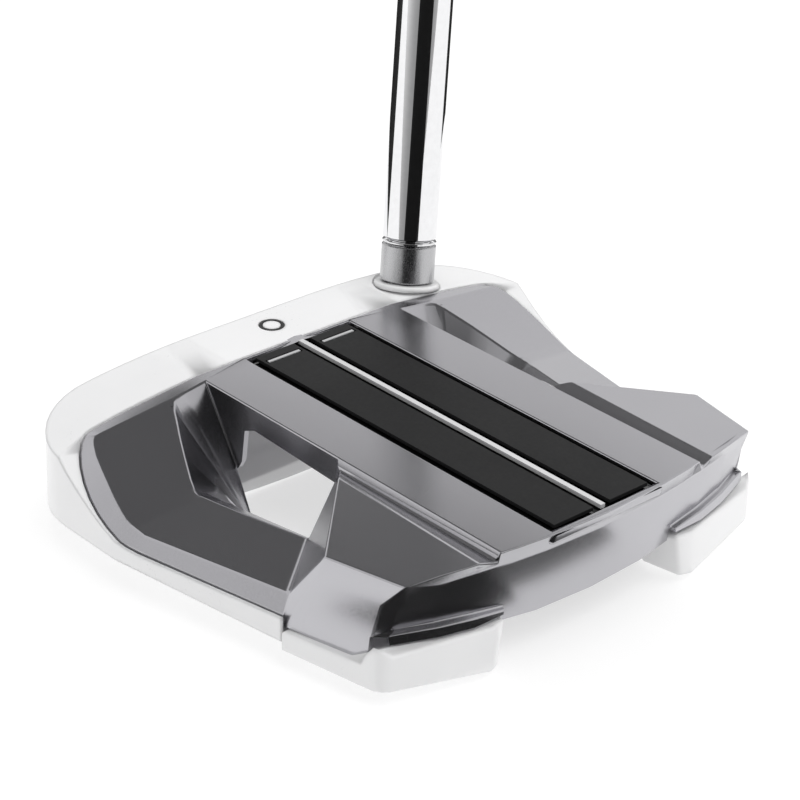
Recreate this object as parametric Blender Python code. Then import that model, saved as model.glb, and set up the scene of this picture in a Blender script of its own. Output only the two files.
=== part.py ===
"""Mallet putter: white steel frame, satin aluminium top plate, chrome shaft and pistol grip.

The head sits on its sole pad at the origin. +X is the toe, -Y is the face, +Y is the rear and
+Z is up. Lengths are in metres; heights on the head are given as drops below the deck.
"""

import math

import bmesh
import bpy
from mathutils import Matrix, Vector

MM = 0.001

# Clearances
GAP = 0.3 * MM                  # between neighbouring pieces
RUNNING_GAP = 0.3 * MM          # around a piece that turns or slides

# Head, overall
DECK_HEIGHT = 21.8 * MM         # deck above the ground
HALF_WIDTH = 49.3 * MM          # centre line to the widest point of the toe or heel
FACE_Y = -12.2 * MM             # face plane at deck level
LOFT = math.radians(3.0)
CORNER_RADIUS = 15.0 * MM       # plan radius of the two front corners
SIDE_STRAIGHT_Y = 15.5 * MM     # where the sides start to taper
SEAM_X = 42.9 * MM              # half width where the side rail ends
SEAM_Y = 48.0 * MM
CAMBER = 2.3                    # sole rise per square metre of distance from the centre line
SOLE_RISE = 0.2 * MM            # sole on the centre line, above the ground
CROWN_FLAT = 12.0 * MM          # half width of the level part of the front bar
CROWN = 3.0                     # fall of the front bar towards its ends

# Front bar
BAR_REAR_Y = -0.75 * MM
FOOT_TOP_DROP = 13.5 * MM       # sloping shelf behind the bar, at the bar
FOOT_EDGE_Y = 5.3 * MM
FOOT_EDGE_DROP = 19.0 * MM
SHOULDER_TOP_DROP = 7.0 * MM    # the same shelf under the pockets, where it is higher
SHOULDER_EDGE_Y = 6.2 * MM

# Top plate
PLATE_WALL = 0.9 * MM
DECK_HALF = 20.9 * MM
RECESS_HALF = 11.05 * MM
RECESS_REAR_Y = 71.3 * MM
RECESS_DEPTH = 1.4 * MM
REAR_Y = 72.7 * MM
REAR_CURVE = 4.0                # how much the rear edge comes forward towards the sides
BAND_DROP = 13.3 * MM           # outer band of the plate, along the sides
BAND_FALL = 10.7 * MM           # how far the band falls round the front corner
BAND_RUN = 20.6 * MM
SKIRT = 1.8 * MM
RIM = 0.45 * MM                 # white land outside the top plate
ELLIPSE_Y = 13.0 * MM           # centre of the front corner of the top plate
ELLIPSE_X = 41.5 * MM

STRIP_START = 2.31 * MM         # height over the deck of the plane of the front strip, on the centre line
STRIP_FALL = 0.111              # its slope towards the toe and the heel
RAMP_START = 2.43 * MM          # the same for the plane of the ramps of the pockets
RAMP_FALL_X = 0.0935
RAMP_FALL_Y = 0.4287

# Side rails
RAIL_TOP_DROP = 16.3 * MM
LEDGE_DROP = 13.6 * MM          # ledge of the rail that carries the edge of the window wall
LEDGE = ((29.4, 17.5), (33.4, 17.5), (30.9, 34.0), (26.6, 34.0))    # its plan, in millimetres

# Inlay
BED_THICKNESS = 0.35 * MM
PANEL_HALF_GAP = 1.75 * MM      # centre line to the near edge of a panel
PANEL_HALF = 9.75 * MM          # centre line to the far edge of a panel
PANEL_PROUD = 0.15 * MM
SIGHT_RIB_WIDTH = 0.9 * MM
SIGHT_RIB_PROUD = 0.2 * MM
DASH_LENGTH = 6.5 * MM
DASH_WIDTH = 0.55 * MM
DASH_Y = 3.35 * MM

# Face insert
INSERT_HALF = 24.5 * MM
INSERT_HEIGHT = 13.6 * MM
INSERT_DEPTH = 3.0 * MM
INSERT_PAD = 0.4 * MM
INSERT_DROP = 10.8 * MM         # centre of the insert below the deck

# Sight ring on the bar
RING_Y = -7.0 * MM
RING_RADIUS = 2.1 * MM
RING_WIDTH = 0.45 * MM
RING_DEPTH = 0.5 * MM

# Shaft
SHAFT_ENTRY = Vector((-29.2, -6.0, -1.0)) * MM       # on the bar top, z from the deck
LOWER_DIRECTION = Vector((-0.187, -0.138, 0.972))
LIE = math.radians(70.0)
BEND_DISTANCE = 95.0 * MM       # from the bar to the bend
BEND_RADIUS = 110.0 * MM
CLUB_LENGTH = 864.0 * MM        # along the shaft, sole to butt
TIP_RADIUS = 4.7 * MM
TIP_WALL = 0.8 * MM
TANG_RADIUS = 3.6 * MM          # reduced tip inside the sleeve and the bore
TANG_WALL = 0.7 * MM
TANG_DEPTH = 9.6 * MM
SLEEVE_HEIGHT = 6.4 * MM
TIP_RING_HEIGHT = 0.4 * MM
COLLAR_RADIUS = 5.7 * MM
COLLAR_HEIGHT = 0.9 * MM
PARALLEL_LENGTH = 300.0 * MM    # unstepped part of the shaft
STEP_COUNT = 12
STEP_PITCH = 26.0 * MM
BUTT_RADIUS = 7.4 * MM

# Grip
GRIP_LENGTH = 267.0 * MM
GRIP_BUTT_WIDTH = 12.6 * MM     # half width, across the target line
GRIP_BUTT_DEPTH = 14.2 * MM     # half depth, thumb flat to heel of the hand
GRIP_MOUTH_RADIUS = 10.6 * MM
TAPE_THICKNESS = 0.3 * MM
CAP_THICKNESS = 4.0 * MM
CAP_PLUG_DEPTH = 8.0 * MM

# Sole
PAD_HALF_X = 14.0 * MM
PAD_FRONT_Y = -8.5 * MM
PAD_REAR_Y = 3.0 * MM
PAD_THICKNESS = 1.0 * MM
PAD_TAPE = 0.3 * MM
WEIGHT_X = 34.0 * MM
WEIGHT_Y = -5.0 * MM
WEIGHT_HEAD_RADIUS = 5.2 * MM
WEIGHT_HEAD = 1.8 * MM
WEIGHT_BODY_RADIUS = 4.0 * MM
WEIGHT_BODY = 3.2 * MM
WEIGHT_SUNK = 0.3 * MM
WASHER_THICKNESS = 0.6 * MM
HEX_RADIUS = 2.3 * MM
HEX_DEPTH = 1.6 * MM

# Rear weights
BLOCK_TOP_FRONT = 14.9 * MM     # drops below the deck
BLOCK_TOP_REAR = 12.6 * MM
BLOCK_STEP = 0.35 * MM          # how far the block stands out beyond the rail

# Fasteners
SCREW_RADIUS = 1.6 * MM
SCREW_HEAD_RADIUS = 2.8 * MM
SCREW_HEAD = 1.4 * MM
BOSS_RADIUS = 2.8 * MM
# The front screws stand just behind the heads of the sole weights.
FRONT_SCREW = (32.5 * MM, WEIGHT_Y + WEIGHT_HEAD_RADIUS + SCREW_HEAD_RADIUS + 2 * GAP)
BLOCK_SCREW = (30.0 * MM, 58.0 * MM)

SIDES = (("toe", 1), ("heel", -1))


def clear_scene():
    for obj in list(bpy.data.objects):
        bpy.data.objects.remove(obj)


def material(name, colour, metallic, roughness):
    made = bpy.data.materials.new(name)
    made.use_nodes = True
    shader = made.node_tree.nodes["Principled BSDF"]
    shader.inputs["Base Color"].default_value = (*colour, 1.0)
    shader.inputs["Metallic"].default_value = metallic
    shader.inputs["Roughness"].default_value = roughness
    made.diffuse_color = (*colour, 1.0)
    return made


def add_object(name, points, faces, finish=None):
    """A mesh object from points in metres and faces by index."""
    mesh = bpy.data.meshes.new(name)
    mesh.from_pydata([tuple(p) for p in points], [], faces)
    mesh.validate()
    clean = bmesh.new()
    clean.from_mesh(mesh)
    bmesh.ops.recalc_face_normals(clean, faces=clean.faces)
    clean.to_mesh(mesh)
    clean.free()
    obj = bpy.data.objects.new(name, mesh)
    bpy.context.scene.collection.objects.link(obj)
    if finish:
        mesh.materials.append(finish)
    return obj


def height(x, y, level):
    """A level is a number or a rule that gives the height at a point."""
    return level(x, y) if callable(level) else level


def prism(name, outline, low, high, finish=None):
    """Closed solid over a plan outline, between two levels."""
    count = len(outline)
    points = [(x, y, height(x, y, low)) for x, y in outline]
    points += [(x, y, height(x, y, high)) for x, y in outline]
    faces = [tuple(range(count)), tuple(range(count, 2 * count))]
    faces += [(i, (i + 1) % count, count + (i + 1) % count, count + i) for i in range(count)]
    return add_object(name, points, faces, finish)


def loft(name, rings, finish=None):
    """Closed solid through rings of equal length, capped at both ends."""
    count = len(rings[0])
    points = [p for ring in rings for p in ring]
    faces = [tuple(range(count)), tuple(range(len(points) - count, len(points)))]
    for row in range(len(rings) - 1):
        base = row * count
        after = base + count
        faces += [(base + i, base + (i + 1) % count, after + (i + 1) % count, after + i) for i in range(count)]
    return add_object(name, points, faces, finish)


def tube(name, rings_out, rings_in, finish=None):
    """Open-ended tube: an outer and an inner skin that share their two end rings."""
    count = len(rings_out[0])
    rows = rings_out + rings_in[::-1]
    points = [p for ring in rows for p in ring]
    faces = []
    for row in range(len(rows)):
        base, after = row * count, ((row + 1) % len(rows)) * count
        faces += [(base + i, base + (i + 1) % count, after + (i + 1) % count, after + i)
                  for i in range(count)]
    return add_object(name, points, faces, finish)


def rectangle(x, y, half_x, half_y):
    """Plan of a rectangle about its centre."""
    return [(x - half_x, y - half_y), (x + half_x, y - half_y),
            (x + half_x, y + half_y), (x - half_x, y + half_y)]


def circle(radius, count):
    return [(radius * math.cos(2 * math.pi * i / count), radius * math.sin(2 * math.pi * i / count))
            for i in range(count)]


def turned(name, profile, frame, finish=None, count=32, inner=None):
    """Turned piece along the local z axis of a frame. profile and inner are (radius, z) lists."""
    rings = [[frame @ Vector((x, y, z)) for x, y in circle(radius, count)] for radius, z in profile]
    if inner is None:
        return loft(name, rings, finish)
    rings_in = [[frame @ Vector((x, y, z)) for x, y in circle(radius, count)] for radius, z in inner]
    return tube(name, rings, rings_in, finish)


def combine(target, tool, operation):
    """Boolean kept as a modifier, with its tool shown as a hidden wire."""
    modifier = target.modifiers.new(tool.name, "BOOLEAN")
    modifier.operation = operation
    modifier.solver = "EXACT"
    modifier.object = tool
    tool.hide_render = True
    tool.display_type = "WIRE"
    tool.hide_set(True)
    return target


def cut(target, *tools):
    for tool in tools:
        combine(target, tool, "DIFFERENCE")


def join(target, *tools):
    for tool in tools:
        combine(target, tool, "UNION")


def bevel(obj, width, segments=2, angle=35):
    modifier = obj.modifiers.new("soft_edges", "BEVEL")
    modifier.width = width
    modifier.segments = segments
    modifier.limit_method = "ANGLE"
    modifier.angle_limit = math.radians(angle)
    modifier.use_clamp_overlap = True


def smooth(obj, angle=35):
    obj.data.shade_smooth()
    obj.data.set_sharp_from_angle(angle=math.radians(angle))


def arc(centre, radius_x, radius_y, start, end, steps):
    """Points of a plan arc, angles in degrees."""
    angles = [math.radians(start + (end - start) * i / steps) for i in range(steps + 1)]
    return [(centre[0] + radius_x * math.cos(a), centre[1] + radius_y * math.sin(a)) for a in angles]


# Shapes that several pieces share


def sole(x):
    """Height of the cambered sole."""
    return SOLE_RISE + CAMBER * x * x


def crown(x):
    """Height of the top of the front bar."""
    return DECK_HEIGHT - CROWN * max(0.0, abs(x) - CROWN_FLAT) ** 2


def band(y):
    """Height of the outer band of the top plate."""
    t = min(1.0, max(0.0, (y + 0.6 * MM) / BAND_RUN))
    return DECK_HEIGHT - BAND_DROP + BAND_FALL * (1 - t) ** 1.75


def rear_edge(x):
    return REAR_Y - REAR_CURVE * x * x


def side_x(y, inset=0.0):
    """Half width of the head along a tapering side."""
    slope = (HALF_WIDTH - SEAM_X) / (SEAM_Y - SIDE_STRAIGHT_Y)
    return HALF_WIDTH - slope * max(0.0, y - SIDE_STRAIGHT_Y) - inset


def outer_half(inset=0.0, end_y=SEAM_Y, steps=10):
    """Plan of the toe side of the head, from the face to the end of the side rail."""
    centre = (HALF_WIDTH - CORNER_RADIUS, FACE_Y + CORNER_RADIUS)
    radius = CORNER_RADIUS - inset
    points = arc(centre, radius, radius, -90, 0, steps)
    points += [(side_x(SIDE_STRAIGHT_Y, inset), SIDE_STRAIGHT_Y), (side_x(end_y, inset), end_y)]
    return points


def plate_half(clearance, steps=8):
    """Plan of the toe side of the top plate, from the bar to the end of the side rail."""
    reach = HALF_WIDTH - RIM - ELLIPSE_X - clearance
    points = arc((ELLIPSE_X, ELLIPSE_Y), reach, ELLIPSE_Y - BAR_REAR_Y - clearance, -90, 0, steps)
    points += [(side_x(SIDE_STRAIGHT_Y, RIM + clearance), SIDE_STRAIGHT_Y + 1 * MM)]
    return points + [(side_x(SEAM_Y, RIM + clearance), SEAM_Y)]


def mirrored(points):
    return [(-x, y) for x, y in reversed(points)]


# Frame


def build_frame(finish):
    """White casting: front bar, shelf, side rails and their thin outer walls."""
    half = outer_half()
    plan = half + [(20 * MM, SEAM_Y), (20 * MM, BAR_REAR_Y)]
    plan += mirrored(plan)
    below = 3 * MM
    lean = math.tan(LOFT) * (DECK_HEIGHT + below)
    low = []
    for x, y in plan:
        share = min(1.0, max(0.0, (FACE_Y + CORNER_RADIUS - y) / CORNER_RADIUS))
        low.append((x, y - lean * share, -below))
    frame = loft("frame", [low, [(x, y, DECK_HEIGHT) for x, y in plan]], finish)

    # The sole is cambered, the bar falls towards its ends, and the walls follow the band of the plate.
    over = DECK_HEIGHT + 9 * MM
    stations = [HALF_WIDTH * 1.1 * (i / 12 - 1) for i in range(25)]
    front, rear = FACE_Y - 9 * MM, SEAM_Y + 9 * MM
    under = -9 * MM
    cut(frame, loft("sole_cutter", [[(x, front, under), (x, rear, under),
                                     (x, rear, sole(x)), (x, front, sole(x))] for x in stations]))
    rear = BAR_REAR_Y + 30 * MM
    cut(frame, loft("crown_cutter", [[(x, front, crown(x)), (x, rear, crown(x)),
                                      (x, rear, over), (x, front, over)] for x in stations]))
    ys = [-0.6 * MM + BAND_RUN * i / 9 for i in range(10)] + [SEAM_Y + 5 * MM]
    for name, side in SIDES:
        inner, outer = side * ELLIPSE_X, side * (HALF_WIDTH + 3 * MM)
        cut(frame, loft(f"{name}_band_cutter", [[(inner, y, band(y)), (outer, y, band(y)), (outer, y, over),
                                                 (inner, y, over)] for y in ys]))

    # Behind the bar the casting is cut down to the rails.
    inner = plate_half(0.0) + [(side_x(SEAM_Y, RIM), SEAM_Y + 5 * MM)]
    inner += mirrored(inner)
    cut(frame, prism("pocket_cutter", inner, DECK_HEIGHT - RAIL_TOP_DROP, over))
    return frame


def build_shelf_tools():
    """Solids joined to the frame: a sloping shelf, two higher shoulders and a ledge on each rail."""
    y0, y1 = BAR_REAR_Y - 2 * MM, BAR_REAR_Y

    def section(x, top_drop, edge_y, edge_drop):
        floor = sole(x)
        return [(x, y0, floor), (x, edge_y, floor), (x, edge_y, DECK_HEIGHT - edge_drop),
                (x, y1, DECK_HEIGHT - top_drop), (x, y0, DECK_HEIGHT - top_drop)]

    xs = [-26 * MM + 52 * MM * i / 8 for i in range(9)]
    tools = [loft("shelf", [section(x, FOOT_TOP_DROP, FOOT_EDGE_Y, FOOT_EDGE_DROP) for x in xs])]
    for name, side in SIDES:
        xs = [side * (24 + 4.2 * i) * MM for i in range(5)]
        rings = [section(x, SHOULDER_TOP_DROP, SHOULDER_EDGE_Y, RAIL_TOP_DROP) for x in xs]
        tools.append(loft(f"{name}_shoulder", rings))
        ledge = [(side * x * MM, y * MM) for x, y in LEDGE]
        rail_top = DECK_HEIGHT - RAIL_TOP_DROP
        tools.append(prism(f"{name}_ledge", ledge, rail_top - 1 * MM, DECK_HEIGHT - LEDGE_DROP))
    return tools


def window_cutters():
    """Openings through the sole: one wide hole under the deck, out to both side rails."""
    top, low = DECK_HEIGHT - 8 * MM, -8 * MM
    half_high = [(29.9 * MM, 9.6 * MM), (26.9 * MM, 32.0 * MM), (21.5 * MM, 52 * MM)]
    half_low = [(27.6 * MM, 9.6 * MM), (24.6 * MM, 32.0 * MM), (18.2 * MM, 52 * MM)]
    high = [(20 * MM, FOOT_EDGE_Y)] + half_high
    lower = [(19 * MM, FOOT_EDGE_Y)] + half_low
    high += mirrored(high)
    lower += mirrored(lower)
    edge = DECK_HEIGHT - RAIL_TOP_DROP + 1.2 * MM
    floor = sole(20 * MM) - 0.6 * MM
    rings = [[(x, y, low) for x, y in lower], [(x, y, floor) for x, y in lower],
             [(x, y, edge) for x, y in high], [(x, y, top) for x, y in high]]
    return [loft("window_cutter", rings)]


# Top plate


def plate_points():
    """Points of the toe half of the top plate's outer skin: x, y and drop below the deck, in millimetres."""
    front, deck, recess = (BAR_REAR_Y + GAP) / MM, DECK_HALF / MM, RECESS_HALF / MM

    def rim(x):
        return rear_edge(x * MM) / MM

    return {
        # deck
        "m_front": (0, front, 0), "m_rim": (0, rim(0), 0), "r_rim": (recess, rim(recess), 0),
        "d_front": (deck, front, 0), "d_crease": (deck, 2.0, 0), "d_mid": (deck, 13.5, 0),
        "d_wing": (deck, 34.7, 0), "d_rim": (deck, rim(deck), 0), "e_rim": (17.8, rim(17.8), 0),
        # side of the deck and the gusset at its front
        "w_wing": (deck, 34.7, 3.5), "w_mid": (deck, 14.5, 3.85), "w_bend": (deck, 12.0, 4.9),
        "w_foot": (deck, 11.2, 10.8), "w_toe": (deck, 10.3, 12.4),
        # front strip beside the bar
        "f_27": (26.7, front, 0.65), "f_35": (35.0, front, 1.6), "c_35": (35.0, 2.2, 1.55),
        # lower edge of the window walls
        "g_toe": (24.6, 10.3, 12.4), "g_corner": (27.8, 15.75, 12.4), "g_side": (29.0, 18.4, 12.4),
        "g_rear": (26.1, 34.4, 12.4),
        # wing
        "k_in": (24.4, 39.0, 0.25), "k_out": (39.1, 53.4, 1.7), "k_rear": (36.0, rim(36.0), 1.45),
        "v_front": (21.5, 35.9, 1.5), "v_rear": (21.5, rim(21.5), 1.4),
        "k_in_rear": (24.4, rim(24.4), 0.8), "k_mid_rear": (30.6, rim(30.6), 0.9),
        "n_front": (40.6, 51.2, 6.4), "n_rear": (37.4, rim(36.0) - 0.7, 6.2),
        "q_rear": (38.3, rim(36.0) - 1.5, 10.6),
        # rear rim and rear wall
        "t_0": (0, rim(0) - 1.6, 3.4), "t_11": (recess, rim(recess) - 1.6, 3.4),
        "t_18": (17.8, rim(17.8) - 1.5, 3.35), "t_21": (deck, rim(deck) - 1.5, 3.3),
        "t_24": (24.4, rim(24.4) - 1.2, 3.1), "t_30": (30.0, rim(30.0) - 1.0, 3.2),
        "t_34": (34.2, rim(36.0) - 0.8, 4.0), "t_36": (35.6, rim(36.0) - 1.8, 8.4),
        "u_0": (0, 69.1, 15.0), "u_11": (recess, 68.7, 14.8), "u_18": (17.8, 68.0, 14.2),
        "x_18": (17.8, 68.5, 11.4), "x_24": (24.0, 68.2, 10.4),
        "x_30": (30.0, 66.9, 10.0), "x_36": (36.0, 64.6, 9.8),
        "y_18": (18.2, 69.3, 11.6), "y_24": (24.0, 69.2, 10.7),
        "y_30": (30.0, 67.9, 10.3), "y_37": (37.0, 65.5, 10.1),
        "z_18": (18.3, 69.3, 12.3), "z_24": (24.0, 69.3, 12.2),
        "z_30": (30.0, 68.0, 12.0), "z_37": (37.2, 65.6, 11.6),
    }


# The crease where the outer bevel of a pocket turns into its ramp and its floor, from the bar to the wing.
CREASE = ((41.3, 2.03, 2.27), (42.5, 2.0, 2.4), (43.1, 2.5, 2.72), (43.7, 3.3, 3.2), (44.4, 4.8, 4.1),
          (45.0, 6.9, 5.25), (45.5, 8.9, 6.35), (46.0, 11.0, 7.6), (46.45, 13.2, 8.85), (46.8, 16.0, 10.2),
          (46.5, 19.6, 11.0), (40.8, 47.3, 10.2))
# The edge where the ramp and the floor of a pocket break off into the window.
BRINK = ((26.7, 2.4, 0.6), (27.7, 2.9, 0.9), (28.7, 4.0, 1.6), (29.7, 6.0, 2.6), (31.0, 8.45, 3.9),
         (32.6, 11.8, 5.7), (34.15, 15.2, 7.5), (35.3, 17.8, 8.5), (34.7, 20.8, 8.4), (33.6, 27.1, 8.3),
         (31.1, 40.2, 7.9))
FOLD = 7                        # the point of BRINK where the ramp meets the floor

PLATE_FACES = (
    "m_front d_front d_crease d_mid d_wing d_rim e_rim r_rim m_rim",
    "d_crease w_toe w_foot w_bend w_mid w_wing d_wing d_mid",
    "d_wing w_wing v_front v_rear d_rim", "v_front k_in k_in_rear v_rear",
    "k_in k_out k_rear k_mid_rear k_in_rear",
    "w_wing g_rear brink_10 crease_11 k_out k_in v_front", "crease_11 band_11 n_front k_out",
    "k_out n_front n_rear k_rear", "n_front band_11 q_rear n_rear",
    "d_front f_27 brink_0 d_crease", "f_27 f_35 c_35 brink_0", "f_35 band_0 crease_0 c_35",
    "brink_0 c_35 crease_0 crease_1 crease_2 brink_1",
    "d_crease brink_0 g_toe w_toe",
    "brink_5 brink_6 g_corner g_toe", "brink_6 brink_7 g_side g_corner", "brink_7 brink_8 g_side",
    "brink_8 brink_9 brink_10 g_rear g_side",
    "brink_7 crease_8 crease_9", "brink_7 crease_9 crease_10 crease_11 brink_10 brink_9 brink_8",
    "m_rim r_rim t_11 t_0", "r_rim e_rim t_18 t_11", "e_rim d_rim t_21 t_18",
    "d_rim v_rear k_in_rear t_24 t_21", "k_in_rear k_mid_rear t_30 t_24",
    "k_mid_rear k_rear t_34 t_30", "k_rear n_rear t_36 t_34", "n_rear q_rear y_37 x_36 t_36",
    "t_0 t_11 u_11 u_0", "t_11 t_18 x_18 u_18 u_11", "t_18 t_21 t_24 x_24 x_18",
    "t_24 t_30 x_30 x_24", "t_30 x_36 x_30",
    "x_18 x_24 y_24 y_18", "x_24 x_30 y_30 y_24", "x_30 x_36 y_37 y_30",
    "y_18 y_24 z_24 z_18", "y_24 y_30 z_30 z_24", "y_30 y_37 z_37 z_30",
)


def build_top_plate(finish):
    """Aluminium plate: one half of its outer skin is mirrored, then given its wall."""
    points = plate_points()
    points.update({f"crease_{i}": p for i, p in enumerate(CREASE)})
    points.update({f"brink_{i}": p for i, p in enumerate(BRINK)})
    edge = plate_half(GAP)
    edge.insert(-1, (side_x(22 * MM, RIM + GAP), 22 * MM))
    edge[-1] = (edge[-1][0], edge[-1][1] - GAP)
    for i, (x, y) in enumerate(edge):
        points[f"band_{i}"] = (x / MM, y / MM, (DECK_HEIGHT - band(y)) / MM)

    faces = [row.split() for row in PLATE_FACES]
    faces += [[f"band_{i}", f"band_{i + 1}", f"crease_{i + 1}", f"crease_{i}"] for i in range(len(CREASE) - 1)]
    faces += [[f"crease_{i + 1}", f"crease_{i + 2}", f"brink_{i + 1}", f"brink_{i}"] for i in range(1, FOLD)]
    faces += [[f"brink_{i}", f"brink_{i + 1}", "g_toe"] for i in range(5)]

    border = ["m_front", "d_front", "f_27", "f_35"] + [f"band_{i}" for i in range(len(edge))]
    for name in border:
        x, y, drop = points[name]
        points[name + "_low"] = (x, y, drop + SKIRT / MM)
    faces += [[a, b, b + "_low", a + "_low"] for a, b in zip(border, border[1:])]

    order = {name: i for i, name in enumerate(points)}
    skin = [Vector((x * MM, y * MM, DECK_HEIGHT - drop * MM)) for x, y, drop in points.values()]
    plate = add_object("top_plate", skin, [[order[name] for name in face] for face in faces], finish)
    if plate.data.polygons[0].normal.z < 0:
        plate.data.flip_normals()
    mirror = plate.modifiers.new("halves", "MIRROR")
    mirror.use_clip = True
    mirror.merge_threshold = 0.00001
    wall = plate.modifiers.new("wall", "SOLIDIFY")
    wall.thickness = PLATE_WALL
    wall.offset = -1
    wall.solidify_mode = "NON_MANIFOLD"
    wall.nonmanifold_thickness_mode = "CONSTRAINTS"
    wall.nonmanifold_merge_threshold = 0.000001
    plate.modifiers.new("triangles", "TRIANGULATE")
    floor = DECK_HEIGHT - RECESS_DEPTH
    front = BAR_REAR_Y + GAP
    half, rear = RECESS_HALF + PLATE_WALL, RECESS_REAR_Y - 0.3 * MM
    tray = [(-half, front), (half, front), (half, rear), (-half, rear)]
    join(plate, prism("recess_tray", tray, floor - PLATE_WALL, DECK_HEIGHT - PLATE_WALL / 2))
    recess = rectangle(0, RECESS_REAR_Y / 2, RECESS_HALF, RECESS_REAR_Y / 2)
    cut(plate, prism("recess_cutter", recess, floor, DECK_HEIGHT + 1 * MM))
    return plate


# Rear weights


def build_block(name, side, finish):
    """White weight at the rear corner, stepped a little outside the side rail."""
    front, inner_y = SEAM_Y + GAP, 69.6 * MM
    corner = side_x(SEAM_Y) + BLOCK_STEP
    low = [(corner, front), (corner - 3.6 * MM, 65.0 * MM), (corner - 5.4 * MM, 66.6 * MM),
           (21.4 * MM, inner_y + 0.9 * MM), (19.4 * MM, inner_y), (18.4 * MM, 63 * MM), (24 * MM, front)]
    top = [(corner, front), (corner - 4.2 * MM, 65.4 * MM), (corner - 5.6 * MM, 66.6 * MM),
           (21.2 * MM, inner_y + 0.6 * MM), (18.2 * MM, inner_y - 0.1 * MM),
           (17.4 * MM, 63 * MM), (23 * MM, front)]

    def top_height(x, y):
        share = (y - front) / (inner_y - front)
        return DECK_HEIGHT - BLOCK_TOP_FRONT - 0.4 * MM + (BLOCK_TOP_FRONT - BLOCK_TOP_REAR) * share

    def bottom_height(x, y):
        return DECK_HEIGHT - 20.5 * MM + (x - 21 * MM) * 0.085

    rings = [[(side * x, y, bottom_height(x, y)) for x, y in low],
             [(side * x, y, top_height(x, y)) for x, y in top]]
    block = loft(name, rings, finish)
    bevel(block, 0.5 * MM, 2, 40)
    return block


# Inlay


def inlay_plan(x0, x1, clearance):
    """Plan of a strip of the recess, with its clearance at both ends."""
    return [(x0, clearance), (x1, clearance), (x1, RECESS_REAR_Y - clearance), (x0, RECESS_REAR_Y - clearance)]


def build_inlay(black, gloss, white, light):
    floor = DECK_HEIGHT - RECESS_DEPTH
    bed_low = floor + GAP
    bed_top = bed_low + BED_THICKNESS
    bed_half = RECESS_HALF - GAP
    prism("inlay_bed", inlay_plan(-bed_half, bed_half, GAP), bed_low, bed_top, gloss)
    panel_low, panel_top = bed_top + GAP, DECK_HEIGHT + PANEL_PROUD
    for name, side in SIDES:
        near, far = side * PANEL_HALF_GAP, side * PANEL_HALF
        panel = prism(f"{name}_panel", inlay_plan(near, far, 0.9 * MM), panel_low, panel_top, black)
        middle = (near + far) / 2
        half = DASH_LENGTH / 2
        wide = DASH_WIDTH / 2
        slot = rectangle(middle, DASH_Y, half + GAP, wide + GAP)
        cut(panel, prism(f"{name}_dash_cutter", slot, panel_top - 0.4 * MM, panel_top + 1 * MM))
        line = rectangle(middle, DASH_Y, half, wide)
        prism(f"{name}_dash", line, panel_top - 0.15 * MM, panel_top + 0.02 * MM, light)
    rib = SIGHT_RIB_WIDTH / 2
    prism("sight_line", inlay_plan(-rib, rib, 0.6 * MM), bed_top + GAP, DECK_HEIGHT + SIGHT_RIB_PROUD, white)


def build_ring(frame, finish):
    """Black ring let into the top of the bar."""
    centre = Matrix.Translation((0, RING_Y, DECK_HEIGHT))
    outer, inner = RING_RADIUS, RING_RADIUS - RING_WIDTH
    groove_out = [(outer + GAP / 2, -RING_DEPTH - GAP), (outer + GAP / 2, 1 * MM)]
    groove_in = [(inner - GAP / 2, -RING_DEPTH - GAP), (inner - GAP / 2, 1 * MM)]
    cut(frame, turned("ring_groove_cutter", groove_out, centre, inner=groove_in))
    turned("sight_ring", [(outer, -RING_DEPTH), (outer, 0.02 * MM)], centre, finish,
           inner=[(inner, -RING_DEPTH), (inner, 0.02 * MM)])


# Face


def capsule(half, radius, steps=8):
    """Outline with two round ends, across x and z."""
    reach = half - radius
    points = []
    for centre, start in ((reach, -90), (-reach, 90)):
        points += arc((centre, 0), radius, radius, start, start + 180, steps)
    return points


def face_frame(depth):
    """Frame on the face plane: x along the face, y up it, z out of it. depth is into the head."""
    middle = Vector((0, FACE_Y - math.tan(LOFT) * INSERT_DROP, DECK_HEIGHT - INSERT_DROP))
    turn = Matrix.Rotation(math.radians(90) - LOFT, 4, "X")
    return Matrix.Translation(middle) @ turn @ Matrix.Translation((0, 0, -depth))


def face_plug(name, half, radius, low, high, finish=None):
    frame = face_frame(0)
    rings = [[frame @ Vector((x, y, z)) for x, y in capsule(half, radius)] for z in (low, high)]
    return loft(name, rings, finish)


def build_face(frame, insert, pad):
    radius = INSERT_HEIGHT / 2
    cut(frame, face_plug("insert_cutter", INSERT_HALF + GAP, radius + GAP, -INSERT_DEPTH, 5 * MM))
    pad_low = -INSERT_DEPTH + GAP
    face_plug("insert_pad", INSERT_HALF - 1 * MM, radius - 1 * MM, pad_low, pad_low + INSERT_PAD, pad)
    face_plug("face_insert", INSERT_HALF, radius, pad_low + INSERT_PAD + GAP, -0.05 * MM, insert)


# Shaft and grip


def shaft_line():
    """Points and directions along the shaft: straight, one bend, then straight at the lie angle."""
    entry = SHAFT_ENTRY + Vector((0, 0, DECK_HEIGHT))
    lower = LOWER_DIRECTION.normalized()
    upper = Vector((-math.cos(LIE), 0, math.sin(LIE)))
    turn = lower.angle(upper)
    reach = BEND_RADIUS * math.tan(turn / 2)
    corner = entry + lower * BEND_DISTANCE
    axis = lower.cross(upper).normalized()
    start = corner - lower * reach
    centre_way = (axis.cross(lower)).normalized()
    centre = start + centre_way * BEND_RADIUS
    return entry, lower, upper, turn, axis, start, centre


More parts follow.
